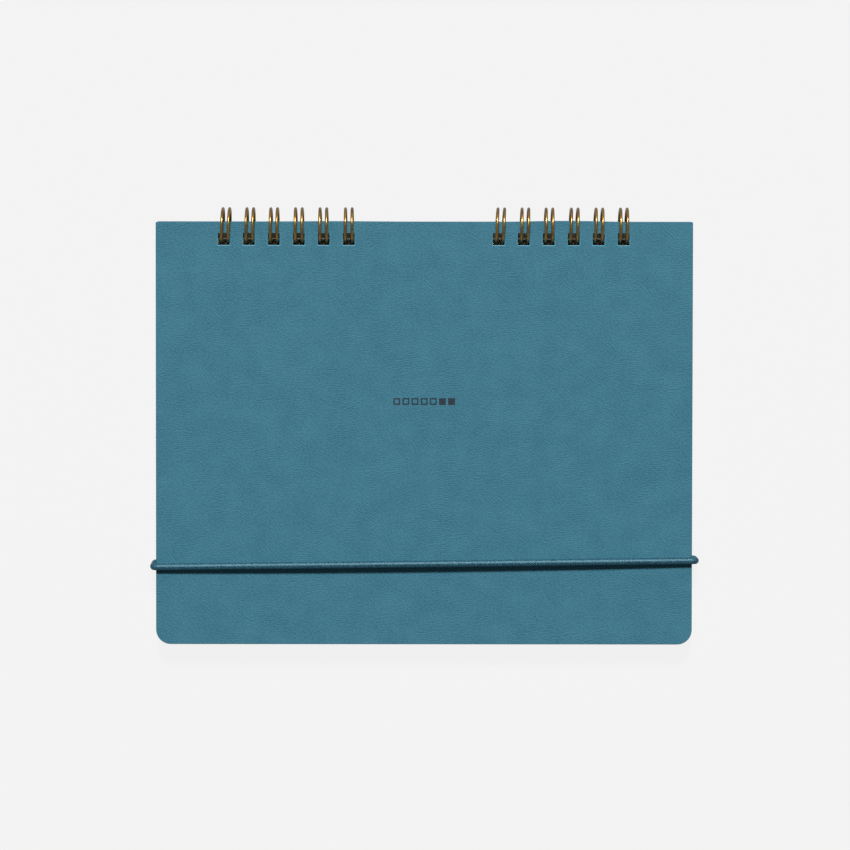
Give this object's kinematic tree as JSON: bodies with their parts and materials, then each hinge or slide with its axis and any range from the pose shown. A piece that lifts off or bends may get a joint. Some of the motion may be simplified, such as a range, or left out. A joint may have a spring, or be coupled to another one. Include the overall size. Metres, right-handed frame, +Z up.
{
  "type": "desk calendar",
  "caption": "Landscape desk calendar: blue leather-look covers and a page stack turn on twin-loop wire along the long edge, held shut by a round elastic band.",
  "frame": {"origin": "on the table, under the middle of the closed calendar with its wire", "axes": "+X along the binding to the right, +Y from the free edge to the binding, +Z up through the front cover"},
  "size_m": [0.1868, 0.1481, 0.013],
  "materials": {
    "cover": "fine-grained satin imitation leather",
    "page": "uncoated ivory paper",
    "wire": "dark bronze, glossy",
    "band": "braided round elastic",
    "clamp": "dark bronze, satin"
  },
  "bodies": {
    "page_stack": {"page_block": "page", "wire_left": "wire", "wire_right": "wire", "elastic_band": "band", "band_clamp": "clamp"},
    "front": {"front_cover": "cover"},
    "back": {"back_cover": "cover"}
  },
  "joints": [
    {"name": "front_cover_turn", "type": "hinge", "parent": "page_stack", "child": "front", "pos_m": [0, 0.06755, 0.0065], "axis": [-1, 0, 0], "range_deg": [0, 180], "deforming": ["elastic_band"]},
    {"name": "back_cover_turn", "type": "hinge", "parent": "page_stack", "child": "back", "pos_m": [0, 0.06755, 0.0065], "axis": [1, 0, 0], "range_deg": [0, 180], "deforming": ["elastic_band"]}
  ]
}
